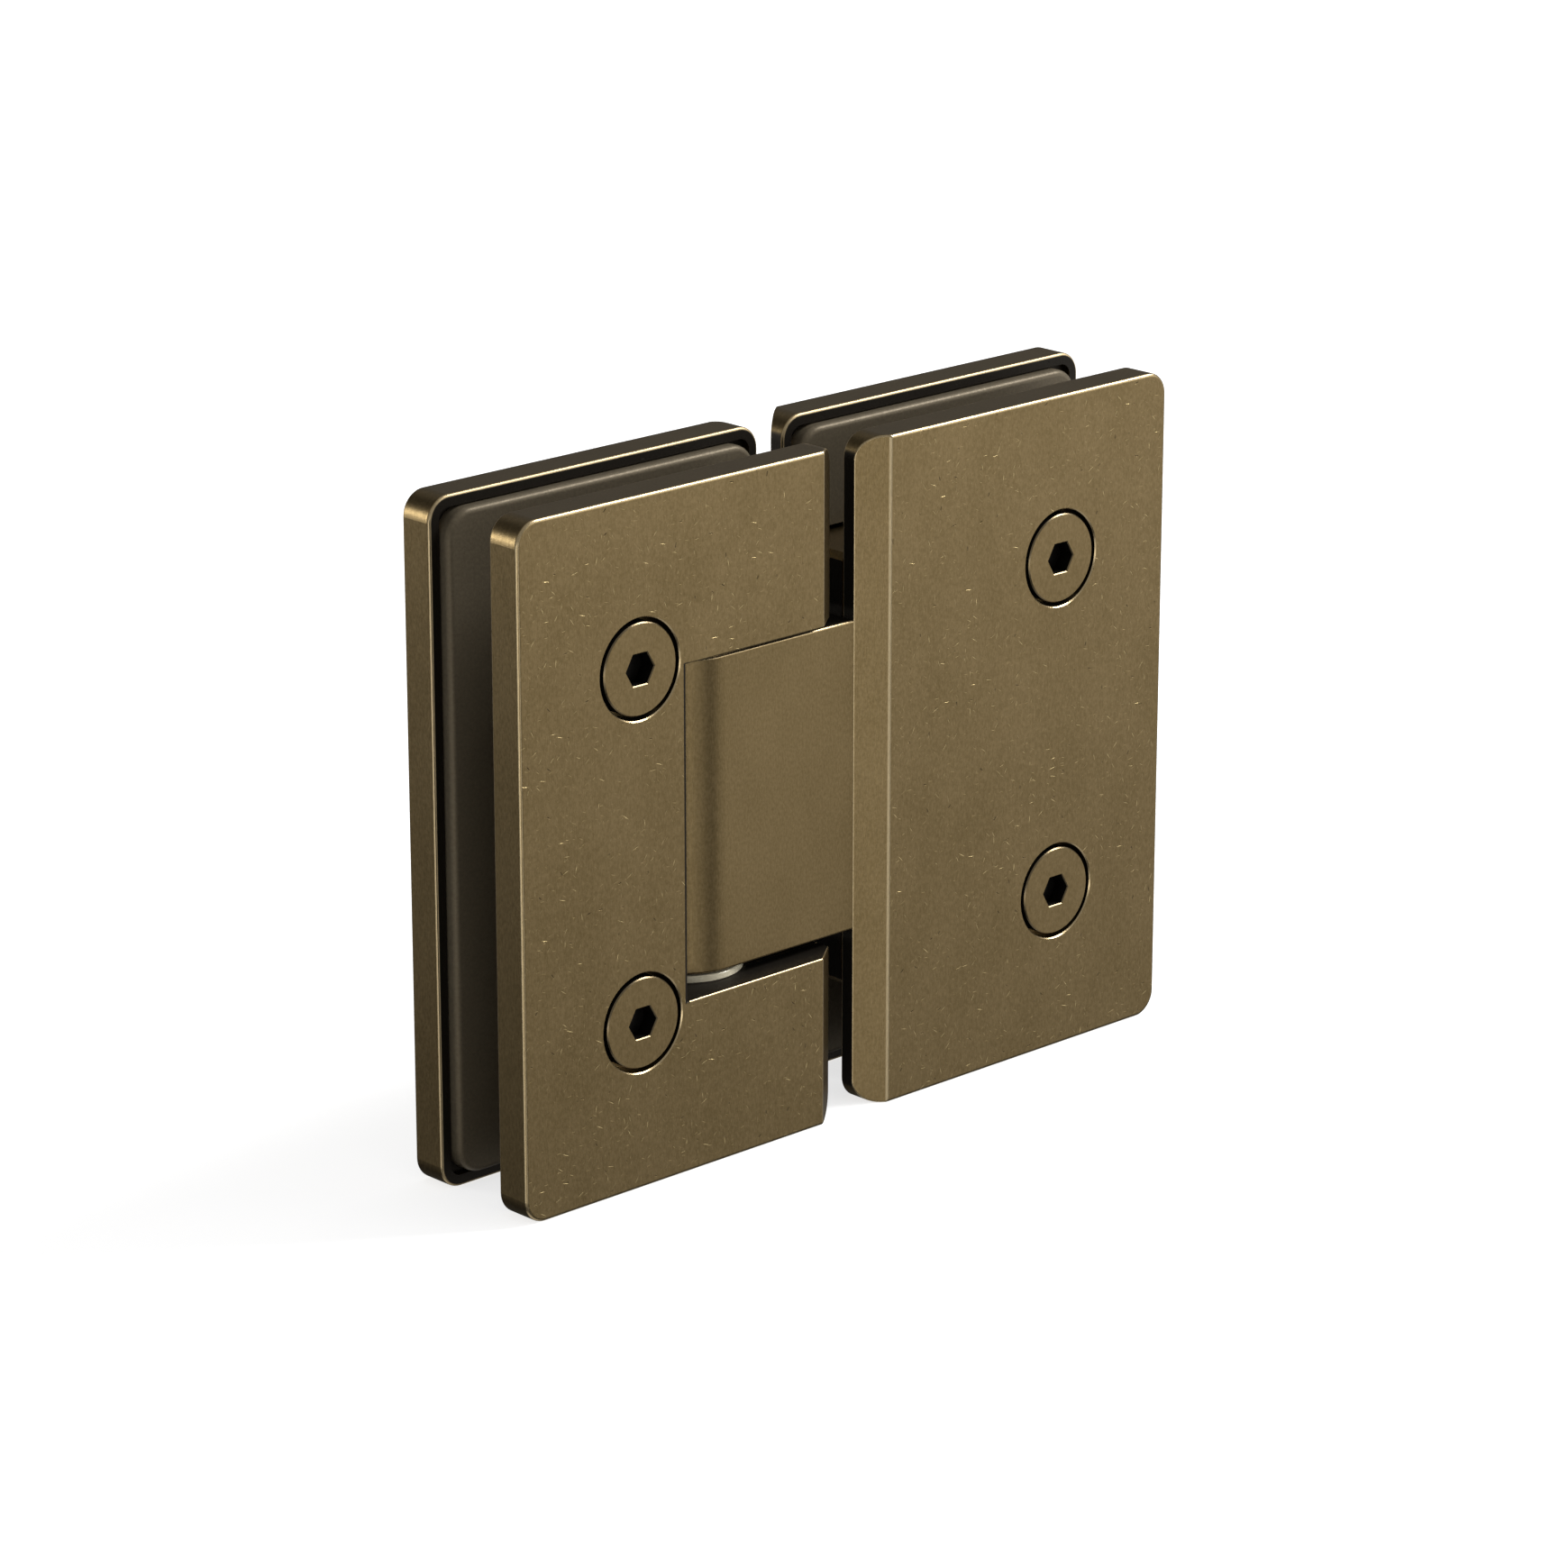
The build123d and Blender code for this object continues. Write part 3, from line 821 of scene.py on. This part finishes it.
@dataclass
class Studio:
    """Pale floor, soft world and lamps.

    The patches stand where a face of the hinge, seen from the camera, mirrors the studio. Ground darkens
    the world below the horizon, and under lights it again straight below.
    """

    base: float = 0.42
    patches: tuple[Patch, ...] = (
        # Mirrored by the flat fronts, and by the roundings along their tops
        Patch((0.656, -0.690, -0.305), 8.0, 48.0, 1.14),
        Patch((0.670, -0.730, 0.120), 5.0, 20.0, 2.0),
        # Mirrored by the bevel and by the upright roundings that face the camera
        Patch((-0.69, -0.655, -0.305), 4.0, 23.0, 3.2),
        # Mirrored by the round upper left corners of the plates
        Patch((-0.306, 0.691, 0.657), 5.0, 35.0, -0.35),
        # Mirrored by the barrel, as its dark band and the lighter strip left of it
        Patch((0.25, -0.93, -0.305), 2.0, 17.0, -0.7),
        Patch((-0.24, -0.93, -0.305), 4.0, 19.0, 1.35),
        # Mirrored by the upright roundings beside the left sides
        Patch((-0.93, -0.20, -0.305), 4.0, 20.0, 1.8),
        # Mirrored by the level tops
        Patch((0.656, 0.690, 0.305), 5.0, 42.0, -0.24),
    )
    darkest: float = 0.02
    ground: float = 0.13
    ground_start: float = -0.52
    ground_end: float = -0.10
    under: float = 0.7
    under_start: float = -0.80
    under_end: float = -0.94
    floor_size: float = 6.0
    floor_shade: float = 0.85
    floor_glow: float = 0.72
    lamps: tuple[Lamp, ...] = (
        Lamp("key", (0.66, -0.30, 0.74), 0.32, 7.5),
        Lamp("rear_low", (-0.75, 0.85, 0.16), 0.30, 2.9),
    )

    def build_world(self) -> None:
        """Makes a soft studio world that is darker towards the ground."""
        world = bpy.data.worlds.new("studio")
        bpy.context.scene.world = world
        world.use_nodes = True
        world.node_tree.nodes.clear()
        n = Nodes(world.node_tree)
        where = n.vector("NORMALIZE", n.add("ShaderNodeTexCoord").outputs["Generated"]).outputs[0]
        level: object = self.base
        for patch in self.patches:
            facing = n.facing(where, tuple(Vector(patch.towards).normalized()))
            outer = math.cos(math.radians(patch.outer_deg))
            inner = math.cos(math.radians(patch.inner_deg))
            level = n.math("ADD", level, n.smooth(facing, outer, inner, 0.0, patch.level))
        height = n.split(where)["Z"]
        shade = n.smooth(height, self.ground_start, self.ground_end, self.ground, 1.0)
        under = n.smooth(height, self.under_end, self.under_start, self.under, 0.0)
        lit = n.math("MULTIPLY", n.math("MAXIMUM", level, self.darkest), shade)
        light = n.add("ShaderNodeBackground")
        n.join(n.math("ADD", lit, under), light.inputs["Strength"])
        n.join(light.outputs[0], n.add("ShaderNodeOutputWorld").inputs[0])

    def build_floor(self) -> None:
        """Makes the floor that the hinge stands on, white to the camera and shaded by the hinge.

        Glossy rays pass it by, because the metal would mirror it far brighter than the real one does.
        """
        bpy.ops.mesh.primitive_plane_add(size=self.floor_size, location=(0, 0, CAD_BOX[0][2]))
        floor = bpy.context.object
        floor.name = "floor"
        floor.visible_glossy = False
        material = bpy.data.materials.new("floor")
        material.use_nodes = True
        n = Nodes(material.node_tree)
        inputs = material.node_tree.nodes["Principled BSDF"].inputs
        inputs["Base Color"].default_value = rgba((self.floor_shade, self.floor_shade, self.floor_shade))
        inputs["Roughness"].default_value = 1.0
        inputs["Specular IOR Level"].default_value = 0.0
        inputs["Emission Color"].default_value = rgba((1.0, 1.0, 1.0))
        path = n.add("ShaderNodeLightPath")
        seen = n.math("MAXIMUM", path.outputs["Is Camera Ray"], path.outputs["Is Glossy Ray"])
        seen = n.math("MAXIMUM", seen, path.outputs["Is Transmission Ray"])
        n.join(n.math("MULTIPLY", seen, self.floor_glow), inputs["Emission Strength"])
        floor.data.materials.append(material)

    def build(self) -> None:
        """Builds world, floor and lamps."""
        self.build_world()
        self.build_floor()
        for lamp in self.lamps:
            lamp.build()
        LOG.info("studio: %d patches, %d lamps", len(self.patches), len(self.lamps))


@dataclass
class View:
    """The camera, at the photograph's place and angle."""

    place: Triple = (-0.47548, -0.49789, 0.26327)
    forward: Triple = (0.65567, 0.69062, -0.30519)
    sensor_mm: float = 36.0
    focal_px: float = 6204.8
    frame_px: float = 1740.0
    nearest: float = 0.01

    def build(self) -> None:
        """Makes the camera the scene's own."""
        data = bpy.data.cameras.new("camera")
        data.sensor_width = self.sensor_mm
        data.lens = self.sensor_mm * self.focal_px / self.frame_px
        data.clip_start = self.nearest
        camera = bpy.data.objects.new("camera", data)
        camera.location = self.place
        camera.rotation_euler = Vector(self.forward).to_track_quat("-Z", "Y").to_euler()
        bpy.context.scene.collection.objects.link(camera)
        bpy.context.scene.camera = camera


def main() -> None:
    """Builds the scene in order."""
    logging.basicConfig(level=logging.INFO)
    scene = bpy.context.scene
    scene.view_settings.view_transform = "Standard"
    View().build()
    groups = Groups()
    made: dict[str, bpy.types.Material] = {}
    FixedLeaf().dress(groups, made)
    DoorLeaf().dress(groups, made)
    Studio().build()


if __name__ == "__main__":
    main()
